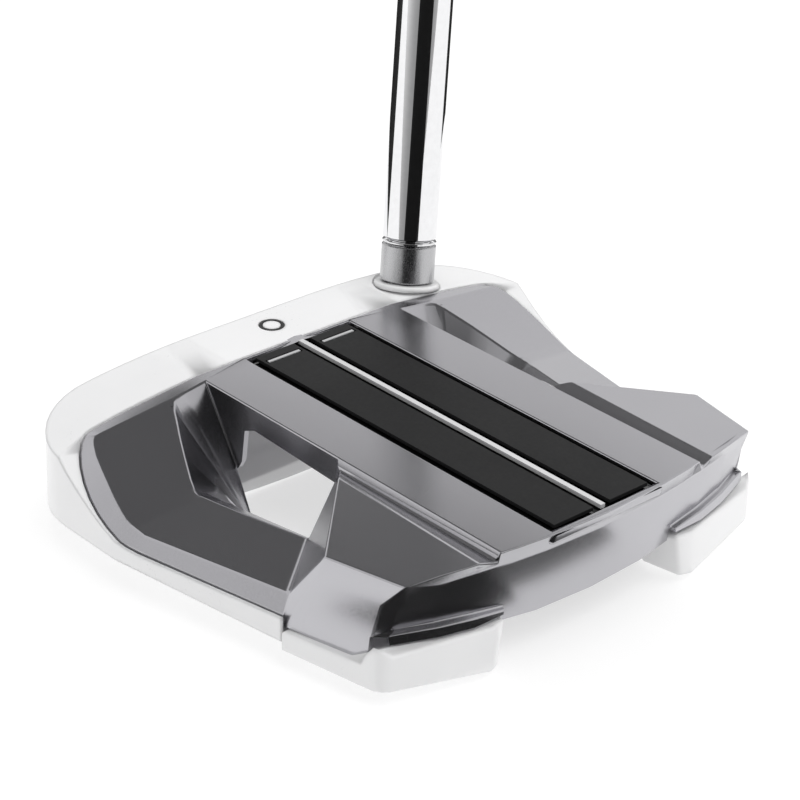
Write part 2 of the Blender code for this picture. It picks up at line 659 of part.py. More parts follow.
def shaft_point(distance):
    """Place and direction at a distance along the shaft from where it enters the bar."""
    entry, lower, upper, turn, axis, start, centre = shaft_line()
    straight = (start - entry).length
    if distance <= straight:
        return entry + lower * distance, lower
    bent = BEND_RADIUS * turn
    if distance <= straight + bent:
        rotation = Matrix.Rotation((distance - straight) / BEND_RADIUS, 3, axis)
        return centre + rotation @ (start - centre), rotation @ lower
    end = centre + Matrix.Rotation(turn, 3, axis) @ (start - centre)
    return end + upper * (distance - straight - bent), upper


def shaft_frame(distance):
    """Local frame with z along the shaft and x turned towards the toe."""
    place, way = shaft_point(distance)
    side = Vector((0, 1, 0)).cross(way).normalized()
    across = way.cross(side)
    turn = Matrix((side, across, way)).transposed().to_4x4()
    return Matrix.Translation(place) @ turn


def shaft_ring(distance, radius, count=24):
    frame = shaft_frame(distance)
    return [frame @ Vector((x, y, 0)) for x, y in circle(radius, count)]


def build_shaft(frame, chrome, satin, bright, white, wood):
    base = shaft_frame(0)
    bore = [(TANG_RADIUS + GAP, -TANG_DEPTH - GAP), (TANG_RADIUS + GAP, 6 * MM)]
    cut(frame, turned("bore_cutter", bore, base, count=24))
    seat = [(COLLAR_RADIUS + GAP, -0.6 * MM), (COLLAR_RADIUS + GAP, 6 * MM)]
    cut(frame, turned("collar_cutter", seat, base))

    collar_low = -0.6 * MM + GAP
    turned("shaft_collar", [(COLLAR_RADIUS, collar_low), (COLLAR_RADIUS, collar_low + COLLAR_HEIGHT - 0.3 * MM),
                            (COLLAR_RADIUS - 0.3 * MM, collar_low + COLLAR_HEIGHT)], base, white,
           inner=[(TANG_RADIUS + GAP, collar_low), (TANG_RADIUS + GAP, collar_low + COLLAR_HEIGHT - 0.3 * MM),
                  (TANG_RADIUS + GAP, collar_low + COLLAR_HEIGHT)])
    sleeve_low = collar_low + COLLAR_HEIGHT + GAP
    sleeve_top = sleeve_low + SLEEVE_HEIGHT
    turned("tip_sleeve", [(TIP_RADIUS, sleeve_low), (TIP_RADIUS, sleeve_top)], base, satin,
           inner=[(TANG_RADIUS + GAP, sleeve_low), (TANG_RADIUS + GAP, sleeve_top)])
    ring_low = sleeve_top + GAP
    ring_top = ring_low + TIP_RING_HEIGHT
    turned("tip_ring", [(TIP_RADIUS, ring_low), (TIP_RADIUS, ring_top)], base, bright,
           inner=[(TANG_RADIUS + GAP, ring_low), (TANG_RADIUS + GAP, ring_top)])

    shoulder = ring_top + GAP
    length = club_length_above_bar()
    outer = [(-TANG_DEPTH, TANG_RADIUS), (shoulder, TANG_RADIUS), (shoulder + 0.01 * MM, TIP_RADIUS)]
    outer += [(40 * MM, TIP_RADIUS)]
    outer += [((72 + 4 * i) * MM, TIP_RADIUS) for i in range(11)]
    rise = (BUTT_RADIUS - TIP_RADIUS) / STEP_COUNT
    for i in range(STEP_COUNT):
        start = PARALLEL_LENGTH + i * STEP_PITCH
        outer += [(start, TIP_RADIUS + rise * i), (start + 0.8 * MM, TIP_RADIUS + rise * (i + 1))]
    outer.append((length, BUTT_RADIUS))
    inner = []
    for distance, radius in outer:
        wall = TANG_WALL if radius <= TANG_RADIUS else TIP_WALL
        inner.append((distance, radius - wall))
    inner[1] = (shoulder + 2 * MM, TANG_RADIUS - TANG_WALL)
    inner[2] = (shoulder + 4 * MM, TIP_RADIUS - TIP_WALL)
    shaft = tube("shaft", [shaft_ring(d, r) for d, r in outer], [shaft_ring(d, r) for d, r in inner], chrome)
    smooth(shaft)

    plug_radius = TANG_RADIUS - TANG_WALL - GAP
    turned("tip_plug", [(plug_radius, -TANG_DEPTH + 0.5 * MM), (plug_radius, -TANG_DEPTH + 6 * MM)], base, wood,
           count=20)
    return length


def club_length_above_bar():
    """Distance along the shaft from the bar to the butt."""
    entry, lower, upper, turn, axis, start, centre = shaft_line()
    below = entry.z / upper.z
    return CLUB_LENGTH - below - CAP_THICKNESS


def grip_ring(distance, share, clearance=0.0, count=28):
    """Pistol section: nearly round at the mouth, with a thumb flat on its upper side at the butt."""
    frame = shaft_frame(distance)
    swell = 0.10 * math.sin(math.pi * min(1.0, max(0.0, (share - 0.55) / 0.4)))
    half_width = GRIP_MOUTH_RADIUS + (GRIP_BUTT_WIDTH - GRIP_MOUTH_RADIUS) * share
    half_depth = GRIP_MOUTH_RADIUS + (GRIP_BUTT_DEPTH - GRIP_MOUTH_RADIUS) * share
    flat = GRIP_MOUTH_RADIUS * (1 - 0.10 * min(1.0, share * 4))
    points = []
    for x, y in circle(1.0, count):
        depth = half_depth * (1 + swell)
        px = min(x * half_depth, flat) if x > 0 else x * depth
        points.append(frame @ Vector((px - clearance, y * half_width, 0)))
    return points


def build_grip(length, rubber, tape_finish, cap_finish):
    start = length - GRIP_LENGTH
    stations = [i / 10 for i in range(11)]
    tape_in = BUTT_RADIUS + GAP
    tape_out = tape_in + TAPE_THICKNESS
    bore = tape_out + GAP
    outer = [grip_ring(start + GRIP_LENGTH * s, s) for s in stations]
    outer.insert(0, shaft_ring(start - 1.2 * MM, bore + 0.9 * MM, 28))
    inner = [shaft_ring(start + GRIP_LENGTH * s, bore, 28) for s in stations]
    inner.insert(0, shaft_ring(start - 1.2 * MM, bore, 28))
    smooth(tube("grip", outer, inner, rubber), 40)
    ends = (start + 4 * MM, length - 3 * MM)
    smooth(tube("grip_tape", [shaft_ring(d, tape_out, 24) for d in ends],
                [shaft_ring(d, tape_in, 24) for d in ends], tape_finish))
    place, way = shaft_point(length)
    lift = way * GAP
    top = [p + lift for p in grip_ring(length, 1.0)]
    plug = BUTT_RADIUS - TIP_WALL - GAP
    middle = shaft_frame(length + GAP).translation
    upper = [p + way * (CAP_THICKNESS - 1.2 * MM) for p in top]
    crown_ring = [middle + (p - middle) * 0.9 + way * CAP_THICKNESS for p in top]
    neck = shaft_ring(length + GAP, plug, 28)
    tip = shaft_ring(length - CAP_PLUG_DEPTH, plug, 28)
    smooth(loft("grip_cap", [tip, neck, top, upper, crown_ring], cap_finish), 40)


# Sole


def build_sole_pad(frame, steel, tape):
    """Flat blank plate let into the sole, which the head stands on."""
    def plan(clearance):
        x, y0, y1 = PAD_HALF_X + clearance, PAD_FRONT_Y - clearance, PAD_REAR_Y + clearance
        corner = 3 * MM
        points = []
        for cx, cy, start in ((x - corner, y1 - corner, 0), (-x + corner, y1 - corner, 90),
                              (-x + corner, y0 + corner, 180), (x - corner, y0 + corner, 270)):
            points += arc((cx, cy), corner, corner, start, start + 90, 4)
        return points

    top = PAD_THICKNESS
    tape_top = top + GAP + PAD_TAPE
    cut(frame, prism("pad_cutter", plan(GAP), -5 * MM, tape_top + GAP))
    prism("sole_pad", plan(0), 0, top, steel)
    prism("sole_pad_tape", plan(-1 * MM), top + GAP, tape_top, tape)


def weight_frame(side):
    """Frame at the mouth of a sole weight: z points up into the head, square to the sole."""
    x = WEIGHT_X
    tilt = math.atan(2 * CAMBER * x)
    turn = Matrix.Rotation(-side * tilt, 4, "Y")
    return Matrix.Translation((side * x, WEIGHT_Y, sole(x) + WEIGHT_SUNK)) @ turn


def build_weights(frame, steel, washer_finish):
    body_start = WEIGHT_HEAD + WASHER_THICKNESS + 2 * RUNNING_GAP
    top = body_start + WEIGHT_BODY
    for name, side in SIDES:
        mouth = weight_frame(side)
        wide = WEIGHT_HEAD_RADIUS + RUNNING_GAP
        narrow = WEIGHT_BODY_RADIUS + RUNNING_GAP
        cut(frame, turned(f"{name}_weight_cutter", [(wide, -6 * MM), (wide, body_start)], mouth),
            turned(f"{name}_thread_cutter", [(narrow, -6 * MM), (narrow, top + GAP)], mouth))
        weight = turned(f"{name}_sole_weight",
                        [(WEIGHT_HEAD_RADIUS - 0.3 * MM, 0), (WEIGHT_HEAD_RADIUS, 0.3 * MM),
                         (WEIGHT_HEAD_RADIUS, WEIGHT_HEAD), (WEIGHT_BODY_RADIUS, WEIGHT_HEAD),
                         (WEIGHT_BODY_RADIUS, top - 0.4 * MM), (WEIGHT_BODY_RADIUS - 0.4 * MM, top)],
                        mouth, steel)
        socket = [(HEX_RADIUS, -1 * MM), (HEX_RADIUS, HEX_DEPTH)]
        cut(weight, turned(f"{name}_hex_cutter", socket, mouth, count=6))
        low = WEIGHT_HEAD + RUNNING_GAP
        washer_in = WEIGHT_BODY_RADIUS + RUNNING_GAP
        washer_out = WEIGHT_HEAD_RADIUS - 0.1 * MM
        turned(f"{name}_weight_washer", [(washer_out, low), (washer_out, low + WASHER_THICKNESS)], mouth,
               washer_finish, inner=[(washer_in, low), (washer_in, low + WASHER_THICKNESS)])


# Fasteners


def build_fasteners(frame, plate, blocks, steel):
    """Screws up through the frame and through the rear weights, into bosses of the plate."""
    for name, side in SIDES:
        # Front: the boss hangs from the ramp of the pocket and stands in a seat of the shoulder.
        x, y = FRONT_SCREW
        seat = DECK_HEIGHT - 12.6 * MM

        def under_ramp(px, py):
            strip = STRIP_START - STRIP_FALL * abs(px)
            ramp = RAMP_START - RAMP_FALL_X * abs(px) - RAMP_FALL_Y * py
            return DECK_HEIGHT + min(strip, ramp) - 0.4 * PLATE_WALL

        ring = [(side * x + px, y + py) for px, py in circle(BOSS_RADIUS, 20)]
        join(plate, prism(f"{name}_front_boss", ring, seat + GAP, under_ramp))
        start = sole(x) + 0.4 * MM
        end = DECK_HEIGHT - 9.0 * MM
        fasten(f"{name}_front_screw", frame, plate, (side * x, y), start, seat, end, steel)
        mouth = Matrix.Translation((side * x, y, 0))
        room = BOSS_RADIUS + GAP
        cut(frame, turned(f"{name}_seat_cutter", [(room, seat), (room, over_head())], mouth, count=20))

        # Rear: a long boss under the wing.
        x, y = BLOCK_SCREW
        block = blocks[name]
        top = DECK_HEIGHT - 13.4 * MM
        ring = [(side * x + px, y + py) for px, py in circle(BOSS_RADIUS, 20)]
        join(plate, prism(f"{name}_rear_boss", ring, top, DECK_HEIGHT - 1.5 * MM))
        start = DECK_HEIGHT - 19.4 * MM
        fasten(f"{name}_block_screw", block, plate, (side * x, y), start, top, top + 5 * MM, steel)


def over_head():
    return DECK_HEIGHT + 9 * MM


def fasten(name, lower, upper, centre, start, joint, end, steel):
    """Socket screw from below: its head is sunk in the lower piece and its tip ends in the upper one."""
    base = Matrix.Translation((*centre, 0))
    wide, narrow = SCREW_HEAD_RADIUS + GAP, SCREW_RADIUS + GAP
    head = start + SCREW_HEAD
    cut(lower, turned(f"{name}_head_cutter", [(wide, -9 * MM), (wide, head + GAP)], base, count=20),
        turned(f"{name}_hole_cutter", [(narrow, -9 * MM), (narrow, joint + 1 * MM)], base, count=16))
    cut(upper, turned(f"{name}_thread_cutter", [(narrow, joint - 1 * MM), (narrow, end + GAP)], base, count=16))
    screw = turned(name, [(SCREW_HEAD_RADIUS, start), (SCREW_HEAD_RADIUS, head), (SCREW_RADIUS, head),
                          (SCREW_RADIUS, end)], base, steel, count=20)
    cut(screw, turned(f"{name}_socket_cutter", [(1.3 * MM, start - 1 * MM), (1.3 * MM, start + 0.9 * MM)], base,
                      count=6))


def add_joint_parents():
    """Empties on the axes of the sole weights: the washer slides out and the weight turns on it."""
    for name, side in SIDES:
        for piece in (f"{name}_weight_washer", f"{name}_sole_weight"):
            axis = bpy.data.objects.new(f"{piece}_axis", None)
            axis.matrix_world = weight_frame(side)
            bpy.context.scene.collection.objects.link(axis)
            obj = bpy.data.objects[piece]
            obj.parent = axis
            obj.matrix_parent_inverse = weight_frame(side).inverted()


def main():
    clear_scene()
    white = material("white_paint", (0.86, 0.86, 0.87), 0.0, 0.35)
    aluminium = material("satin_aluminium", (0.42, 0.42, 0.45), 1.0, 0.38)
    black = material("black_anodised", (0.015, 0.015, 0.016), 0.5, 0.42)
    gloss = material("black_gloss", (0.004, 0.004, 0.004), 0.0, 0.12)
    sight = material("sight_white", (0.9, 0.9, 0.9), 0.0, 0.4)
    light = material("sight_grey", (0.62, 0.62, 0.64), 0.0, 0.45)
    ring_black = material("ring_black", (0.01, 0.01, 0.01), 0.0, 0.5)
    insert = material("insert_polymer", (0.05, 0.05, 0.055), 0.0, 0.5)
    pad = material("insert_tape", (0.55, 0.5, 0.4), 0.0, 0.9)
    chrome = material("chrome", (0.78, 0.78, 0.8), 1.0, 0.06)
    satin = material("satin_steel", (0.55, 0.55, 0.57), 1.0, 0.3)
    bright = material("bright_steel", (0.85, 0.85, 0.86), 1.0, 0.1)
    steel = material("steel", (0.5, 0.5, 0.52), 1.0, 0.25)
    tungsten = material("weight_steel", (0.35, 0.35, 0.37), 1.0, 0.3)
    washer = material("washer_nylon", (0.08, 0.08, 0.09), 0.0, 0.6)
    wood = material("plug_wood", (0.5, 0.35, 0.18), 0.0, 0.8)
    rubber = material("grip_rubber", (0.02, 0.02, 0.022), 0.0, 0.75)
    tape = material("grip_tape", (0.75, 0.72, 0.6), 0.0, 0.85)
    cap = material("grip_cap", (0.03, 0.03, 0.033), 0.0, 0.6)
    sole_steel = material("sole_steel", (0.6, 0.6, 0.62), 1.0, 0.35)

    frame = build_frame(white)
    join(frame, *build_shelf_tools())
    cut(frame, *window_cutters())
    plate = build_top_plate(aluminium)
    blocks = {name: build_block(f"{name}_block", side, white) for name, side in SIDES}
    build_inlay(black, gloss, sight, light)
    build_ring(frame, ring_black)
    build_face(frame, insert, pad)
    length = build_shaft(frame, chrome, satin, bright, white, wood)
    build_grip(length, rubber, tape, cap)
    build_sole_pad(frame, sole_steel, pad)
    build_weights(frame, tungsten, washer)
    build_fasteners(frame, plate, blocks, steel)
    add_joint_parents()


main()
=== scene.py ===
"""Mallet putter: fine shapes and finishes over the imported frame. An add-on in layout, run as a script."""

import math

import bmesh
import bpy
from bpy.props import FloatProperty, FloatVectorProperty, IntProperty, PointerProperty
from mathutils import Matrix, Vector


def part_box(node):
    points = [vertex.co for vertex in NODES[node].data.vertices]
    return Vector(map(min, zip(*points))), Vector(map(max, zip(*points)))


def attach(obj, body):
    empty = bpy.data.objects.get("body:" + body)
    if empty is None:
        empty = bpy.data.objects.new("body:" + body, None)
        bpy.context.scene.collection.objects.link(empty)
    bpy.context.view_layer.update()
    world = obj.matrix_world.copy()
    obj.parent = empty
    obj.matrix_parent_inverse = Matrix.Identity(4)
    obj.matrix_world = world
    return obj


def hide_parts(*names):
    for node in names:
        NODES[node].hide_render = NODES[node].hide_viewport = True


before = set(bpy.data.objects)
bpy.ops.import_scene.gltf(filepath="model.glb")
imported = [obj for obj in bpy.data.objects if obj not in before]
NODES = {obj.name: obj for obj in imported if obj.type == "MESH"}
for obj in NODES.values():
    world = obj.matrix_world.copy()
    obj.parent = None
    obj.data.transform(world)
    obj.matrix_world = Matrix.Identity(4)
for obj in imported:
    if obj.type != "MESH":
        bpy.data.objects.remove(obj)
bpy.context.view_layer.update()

bl_info = {
    "name": "Mallet putter",
    "version": (1, 0, 0),
    "blender": (4, 5, 0),
    "location": "3D View > Sidebar > Putter",
    "description": "Fine shapes and finishes of a mallet putter",
    "category": "Object",
}

MM = 0.001
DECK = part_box("top_plate")[1][2]         # height of the deck


# Shader maths


class Value:
    """A socket that takes part in Python expressions by adding Math nodes."""

    def __init__(self, shader, socket):
        self.shader = shader
        self.socket = socket

    def maths(self, operation, *others):
        return self.shader.node("ShaderNodeMath", {"operation": operation}, dict(enumerate(others)))

    def __add__(self, other):
        return self.maths("ADD", self, other)

    def __radd__(self, other):
        return self.maths("ADD", other, self)

    def __mul__(self, other):
        return self.maths("MULTIPLY", self, other)

    def __rmul__(self, other):
        return self.maths("MULTIPLY", other, self)


class Nodes:
    """A node tree under construction."""

    def __init__(self, tree):
        self.tree = tree

    def node(self, kind, settings=None, inputs=None, output=0):
        """Adds a node: its settings first, then the values or links of its sockets."""
        made = self.tree.nodes.new(kind)
        for key, value in (settings or {}).items():
            setattr(made, key, value)
        for key, value in (inputs or {}).items():
            self.put(made.inputs[key], value)
        return Value(self, made.outputs[output])

    def put(self, socket, value):
        if isinstance(value, Value):
            self.tree.links.new(value.socket, socket)
        else:
            socket.default_value = value


class Shader(Nodes):
    """A material under construction, around its Principled BSDF."""

    def __init__(self, name, **fixed):
        self.material = bpy.data.materials.new(name)
        self.material.use_nodes = True
        super().__init__(self.material.node_tree)
        self.surface = self.tree.nodes["Principled BSDF"]
        self.drive(**fixed)

    def drive(self, **values):
        """Sets or links sockets of the surface, named in lower case with underscores."""
        for socket, value in values.items():
            self.put(self.surface.inputs[socket.replace("_", " ").title()], value)

    def place(self, scale=(1.0, 1.0, 1.0)):
        """Object coordinates, scaled."""
        where = self.node("ShaderNodeTexCoord", output="Object")
        return self.node("ShaderNodeMapping", {}, {"Vector": where, "Scale": scale})

    def noise(self, scale, detail, stretch=(1.0, 1.0, 1.0)):
        """Noise between 0 and 1; scale is in features per metre."""
        return self.node("ShaderNodeTexNoise", {}, {"Vector": self.place(stretch), "Scale": scale,
                                                    "Detail": detail})

    def spread(self, noise, low, high):
        """Maps the middle of a noise onto a range."""
        return self.node("ShaderNodeMapRange", {}, {"Value": noise, "From Min": 0.3, "From Max": 0.7,
                                                    "To Min": low, "To Max": high})

    def tint(self, factor, dark, light):
        """Mix of two colours; 6, 7 and 2 are the node's colour inputs and output."""
        return self.node("ShaderNodeMix", {"data_type": "RGBA"},
                         {"Factor": factor, 6: (*dark, 1.0), 7: (*light, 1.0)}, output=2)

    def round_edges(self, radius):
        """Normal with its edges rounded off over a small radius."""
        return self.node("ShaderNodeBevel", {"samples": 6}, {"Radius": radius})

    def relief(self, value, depth, strength=1.0, normal=None):
        inputs = {"Height": value, "Distance": depth, "Strength": strength}
        if normal is not None:
            inputs["Normal"] = normal
        self.drive(normal=self.node("ShaderNodeBump", {}, inputs))


def finish_metal(name, colour, roughness, grain, depth, edge=0.0, stretch=(1.0, 1.0, 1.0)):
    """Bare metal with a fine grain in its colour, gloss and relief."""
    shader = Shader(name, metallic=1.0)
    fine = shader.noise(grain, 4.0, stretch)
    broad = shader.noise(45.0, 2.0)
    dark = tuple(c * 0.93 for c in colour)
    shader.drive(base_color=shader.tint(shader.spread(fine * 0.6 + broad * 0.4, 0.0, 1.0), dark, colour),
                 roughness=shader.spread(fine, roughness * 0.88, roughness * 1.12))
    shader.relief(fine, depth, 0.5, shader.round_edges(edge) if edge else None)
    return shader.material


def finish_paint(name, colour, roughness, coat, edge=0.0, peel=0.00001, metallic=0.0):
    """Paint or anodising: slight mottling, orange peel and a clear coat."""
    shader = Shader(name, coat_weight=coat, coat_roughness=0.06, metallic=metallic)
    broad = shader.noise(60.0, 3.0)
    fine = shader.noise(1800.0, 2.0)
    dark = tuple(c * 0.96 for c in colour)
    shader.drive(base_color=shader.tint(shader.spread(broad, 0.0, 1.0), dark, colour),
                 roughness=shader.spread(fine * 0.5 + broad * 0.5, roughness * 0.9, roughness * 1.1))
    shader.relief(fine, peel, 0.35, shader.round_edges(edge) if edge else None)
    return shader.material


def finish_rubber(name, colour, roughness, grain, depth):
    """Moulded rubber or plastic with a fine texture."""
    shader = Shader(name, sheen_weight=0.15)
    fine = shader.noise(grain, 5.0)
    pores = shader.node("ShaderNodeTexVoronoi", {}, {"Vector": shader.place(), "Scale": grain * 0.8})
    light = tuple(min(1.0, c * 1.5 + 0.004) for c in colour)
    shader.drive(base_color=shader.tint(shader.spread(fine, 0.0, 1.0), colour, light),
                 roughness=shader.spread(fine, roughness * 0.88, min(1.0, roughness * 1.12)))
    shader.relief(fine * 0.6 + pores * 0.4, depth, 0.8)
    return shader.material


def finish_weave(name, colour, pitch):
    """Adhesive tape: a plain weave of two crossed wave bands."""
    shader = Shader(name, roughness=0.85)
    place = shader.place()
    across = shader.node("ShaderNodeTexWave", {"bands_direction": "X"}, {"Vector": place, "Scale": pitch})
    along = shader.node("ShaderNodeTexWave", {"bands_direction": "Y"}, {"Vector": place, "Scale": pitch})
    weave = across * along
    dark = tuple(c * 0.8 for c in colour)
    shader.drive(base_color=shader.tint(weave, dark, colour))
    shader.relief(weave, 0.00003)
    return shader.material


# Meshes


def add_piece(name, points, faces, material, body, slot):
    """A new piece from points in metres, riding on a body of the frame."""
    mesh = bpy.data.meshes.new(name)
    mesh.from_pydata([tuple(p) for p in points], [], faces)
    clean = bmesh.new()
    clean.from_mesh(mesh)
    bmesh.ops.recalc_face_normals(clean, faces=clean.faces)
    clean.to_mesh(mesh)
    clean.free()
    mesh.shade_smooth()
    piece = bpy.data.objects.new(name, mesh)
    bpy.context.scene.collection.objects.link(piece)
    mesh.materials.append(material)
    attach(piece, body)
    return piece


def settle(piece, sharp):
    """Applies a piece's modifiers, and shades it smooth but for edges sharper than this, in degrees."""
    bpy.context.view_layer.update()
    graph = bpy.context.evaluated_depsgraph_get()
    mesh = bpy.data.meshes.new_from_object(piece.evaluated_get(graph))
    piece.modifiers.clear()
    piece.data = mesh
    mesh.shade_smooth()
    mesh.set_sharp_from_angle(angle=math.radians(sharp))
    normals = piece.modifiers.new("flat faces", "WEIGHTED_NORMAL")
    normals.keep_sharp = True


def refine(name, material):
    """A piece in place of a node: its facets merged and its shading smooth."""
    clean = bmesh.new()
    clean.from_mesh(NODES[name].data)
    bmesh.ops.remove_doubles(clean, verts=clean.verts, dist=2e-6)
    bmesh.ops.dissolve_limit(clean, angle_limit=math.radians(0.6), verts=clean.verts, edges=clean.edges)
    mesh = bpy.data.meshes.new(f"fine_{name}")
    clean.to_mesh(mesh)
    clean.free()
    mesh.materials.clear()
    mesh.materials.append(material)
    piece = bpy.data.objects.new(f"fine_{name}", mesh)
    bpy.context.scene.collection.objects.link(piece)
    settle(piece, 32)
    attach(piece, "club")
    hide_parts(name)


def dress(name, material):
    """Gives a finish to a piece of the frame that keeps its shape."""
    piece = NODES[name]
    if not piece.material_slots:
        raise RuntimeError(f"{name} has no material slot")
    for slot in piece.material_slots:
        slot.material = material


def circle(radius, count):
    """Points of a circle round the origin."""
    turn = 2 * math.pi / count
    return [(radius * math.cos(turn * i), radius * math.sin(turn * i)) for i in range(count)]


def skin(rings, closed=False, caps=False):
    """Points and faces of a surface through rings of equal length; closed joins the last to the first."""
    count = len(rings[0])
    points = [p for ring in rings for p in ring]
    faces = []
    for row in range(len(rings) if closed else len(rings) - 1):
        here, after = row * count, (row + 1) % len(rings) * count
        for i in range(count):
            beside = (i + 1) % count
            faces.append((here + i, here + beside, after + beside, after + i))
    if caps:
        faces += [tuple(range(count)), tuple(range(len(points) - count, len(points)))]
    return points, faces


# Top plate. Its points are in millimetres: x from the centre line, y from the front crease, and the
# drop below the deck.


REAR_Y = 72.7
REAR_BOW = 0.004
HALF_WIDTH = 49.3
SIDE_STRAIGHT_Y = 15.5                   # where the taper of the side starts
SEAM_X = 42.9                            # half width where the side rail ends
SEAM_Y = 48.0
BAND_START_Y = -0.6
BAND_RUN = 20.6
BAND_LOW = 13.3                          # lowest drop of the plate's outer edge
BAND_FALL = 10.7
BAND_POWER = 1.75
RIM = 0.75                               # width of the frame's wall outside the plate
CORNER_X, CORNER_Y = 41.5, 13.0          # centre of the plate's rounded front corner
REACH_X, REACH_Y = 7.05, 13.45
CORNER_STEPS = 8
SKIRT = 1.8                              # turned-down edge that sits inside the frame
RECESS = 11.05                           # half width of the bed of the inlay
DECK_HALF = 20.9
FOLD_ANGLE = math.radians(14)          # from here two faces get a rounded edge


def rear_edge(x):
    """Rear edge of the plate in plan."""
    return REAR_Y - REAR_BOW * x * x


def side_x(y):
    """Half width of the head along its tapering side."""
    slope = (HALF_WIDTH - SEAM_X) / (SEAM_Y - SIDE_STRAIGHT_Y)
    return HALF_WIDTH - slope * max(0.0, y - SIDE_STRAIGHT_Y)


def band_drop(y):
    """Drop of the outer edge of the plate."""
    share = min(1.0, max(0.0, (y - BAND_START_Y) / BAND_RUN))
    return BAND_LOW - BAND_FALL * (1 - share) ** BAND_POWER


PLATE = {
    # deck, its recess and its front edge
    "m_front": (0, -0.45, 0), "x_front": (RECESS, -0.45, 0), "d_front": (DECK_HALF, -0.45, 0),
    "m_step": (0, 0, 0), "r_step": (RECESS, 0, 0), "m_back": (0, 71.3, 0), "r_back": (RECESS, 71.3, 0),
    "r_two": (RECESS, 2.0, 0), "r_wing": (RECESS, 34.7, 0), "m_step_low": (0, 0, 1.4),
    "r_step_low": (RECESS, 0, 1.4), "m_back_low": (0, 71.3, 1.4), "r_back_low": (RECESS, 71.3, 1.4),
    "m_rim": (0, rear_edge(0), 0), "r_rim": (RECESS, rear_edge(RECESS), 0),
    "e_rim": (17.8, rear_edge(17.8), 0),
    "d_crease": (DECK_HALF, 2.0, 0), "d_mid": (DECK_HALF, 13.5, 0), "d_wing": (DECK_HALF, 34.7, 0),
    "d_rim": (DECK_HALF, rear_edge(DECK_HALF), 0),
    # side of the deck, down to the window
    "w_wing": (DECK_HALF, 34.7, 3.5), "w_mid": (DECK_HALF, 14.5, 3.85), "w_bend": (DECK_HALF, 12.0, 4.9),
    "w_foot": (DECK_HALF, 11.2, 10.8), "w_toe": (DECK_HALF, 10.3, 12.4),
    # front strip and the lower edge of the window walls
    "f_27": (26.7, -0.45, 0.65), "f_35": (35.0, -0.45, 1.6), "c_35": (35.0, 2.2, 1.55),
    "g_toe": (24.6, 10.3, 12.4), "g_corner": (27.8, 15.75, 12.4), "g_side": (29.0, 18.4, 12.4),
    "g_rear": (26.1, 34.4, 12.4),
    # wing
    "k_in": (24.4, 39.0, 0.25), "k_out": (39.1, 53.4, 1.7), "k_rear": (36.0, rear_edge(36), 1.45),
    "v_front": (21.5, 35.9, 1.5), "v_rear": (21.5, rear_edge(21.5), 1.4),
    "k_in_rear": (24.4, rear_edge(24.4), 0.8), "k_mid_rear": (30.6, rear_edge(30.6), 0.9),
    "n_front": (40.4, 52.0, 6.3), "n_rear": (37.94, 64.53, 5.15), "q_rear": (38.67, 63.42, 10.6),
    "q_low": (39.0, 62.95, 13.1), "q_turn": (39.25, 62.2, 14.5), "q_end": (39.69, 60.4, 15.3),
    "q_front": (42.1, 47.75, 15.1),
    # rear rim and rear wall
    "t_0": (0, rear_edge(0) - 1.6, 3.4), "t_11": (RECESS, rear_edge(RECESS) - 1.6, 3.4),
    "t_18": (17.8, rear_edge(17.8) - 1.5, 3.35),
    "t_21": (DECK_HALF, rear_edge(DECK_HALF) - 1.5, 3.3),
    "t_24": (24.4, rear_edge(24.4) - 1.2, 3.1), "t_30": (30.0, rear_edge(30) - 1.0, 3.2),
    "t_34": (35.05, 66.7, 4.26), "t_35": (36.18, 66.0, 5.6), "t_36": (36.45, 65.2, 9.6),
    "u_0": (0, 69.1, 15.0), "u_11": (RECESS, 68.7, 14.8), "u_18": (17.8, 68.0, 14.2),
    "x_18": (17.8, 68.5, 11.4), "x_24": (24.0, 68.2, 10.4),
    "x_30": (30.0, 66.9, 10.0), "x_36": (36.0, 64.6, 9.8),
    "y_18": (18.2, 69.3, 11.6), "y_24": (24.0, 69.2, 10.7),
    "y_30": (30.0, 67.9, 10.3), "y_37": (37.0, 65.5, 10.1),
    "z_18": (18.3, 69.3, 12.3), "z_24": (24.0, 69.3, 12.2),
    "z_30": (30.0, 68.0, 12.0), "z_37": (37.2, 65.6, 11.6),
}
CREASE = ((41.3, 2.03, 2.27), (42.5, 2.0, 2.4), (43.1, 2.5, 2.72), (43.7, 3.3, 3.2), (44.4, 4.8, 4.1),
          (45.0, 6.9, 5.25), (45.5, 8.9, 6.35), (46.0, 11.0, 7.6), (46.45, 13.2, 8.85), (46.8, 16.0, 10.2),
          (46.5, 19.6, 11.0), (40.8, 47.3, 10.2))
BRINK = ((26.7, 2.4, 0.6), (27.7, 2.9, 0.9), (28.7, 4.0, 1.6), (29.7, 6.0, 2.6), (31.0, 8.45, 3.9),
         (32.6, 11.8, 5.7), (34.15, 15.2, 7.5), (35.3, 17.8, 8.5), (34.7, 20.8, 8.4), (33.6, 27.1, 8.3),
         (31.1, 40.2, 7.9))
